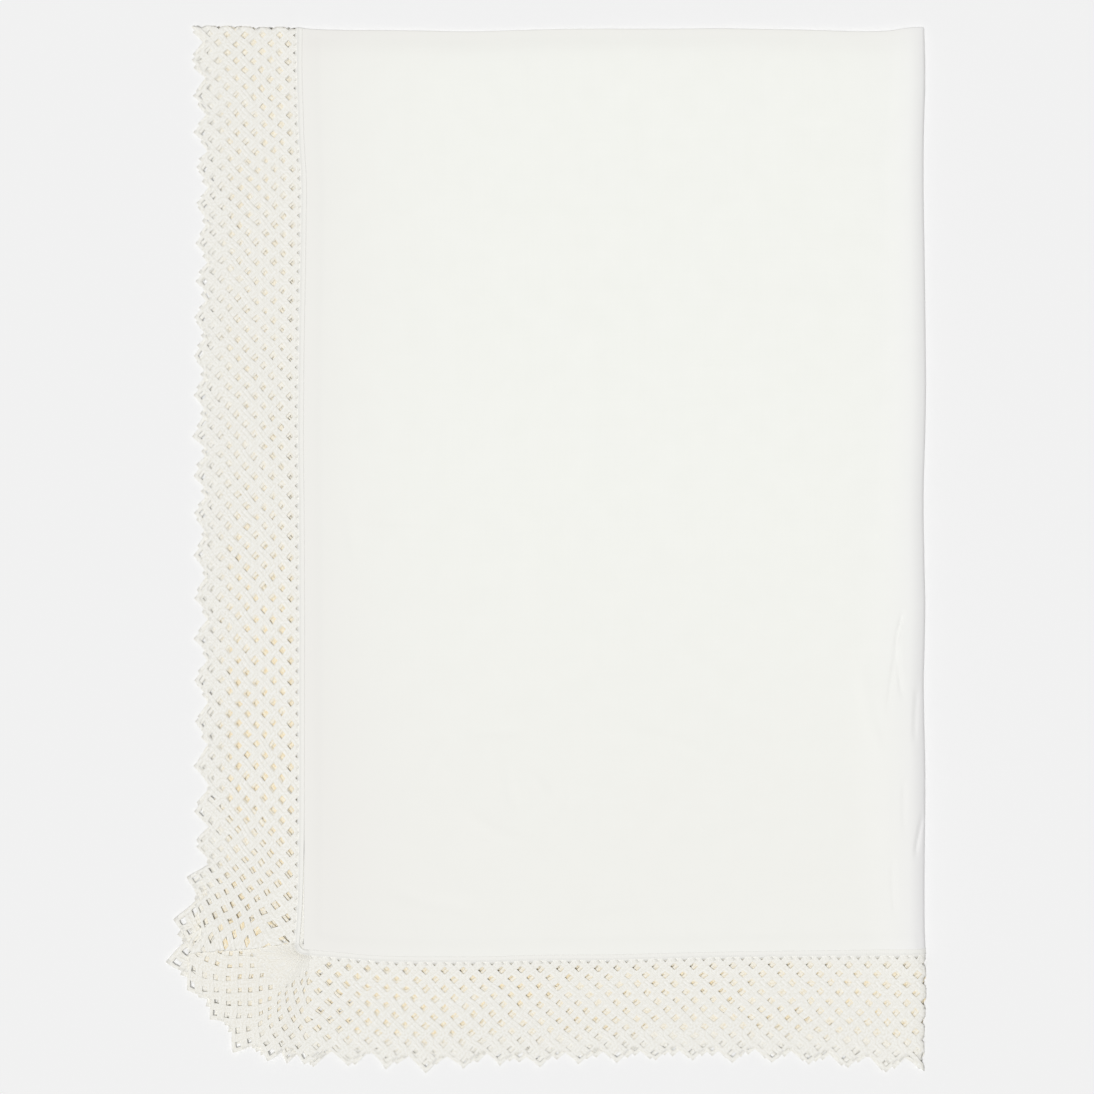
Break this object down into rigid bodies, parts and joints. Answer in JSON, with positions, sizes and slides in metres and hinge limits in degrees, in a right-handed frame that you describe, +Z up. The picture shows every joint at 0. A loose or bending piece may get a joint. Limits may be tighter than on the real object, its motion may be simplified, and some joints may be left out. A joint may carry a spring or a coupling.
{
  "type": "folded tablecloth with macrame lace border",
  "caption": "Plain linen tablecloth with a knotted lace border and gathered corners, folded into a flat rectangle and lying on a table.",
  "frame": {"origin": "on the table under the middle of the folded cloth's footprint", "axes": "+Z up, +Y towards the first, crisp fold, +X towards the second, rolled fold; the lace shows along -X and -Y"},
  "size_m": [0.9144, 1.2564, 0.0142],
  "materials": {
    "linen": "off-white plain-woven linen, softly creased, matt",
    "lace_cotton": "natural cotton cord, knotted in ribbed bars, matt"
  },
  "bodies": {
    "root": {"linen_panel": "linen", "lace_border": "lace_cotton"}
  },
  "joints": []
}
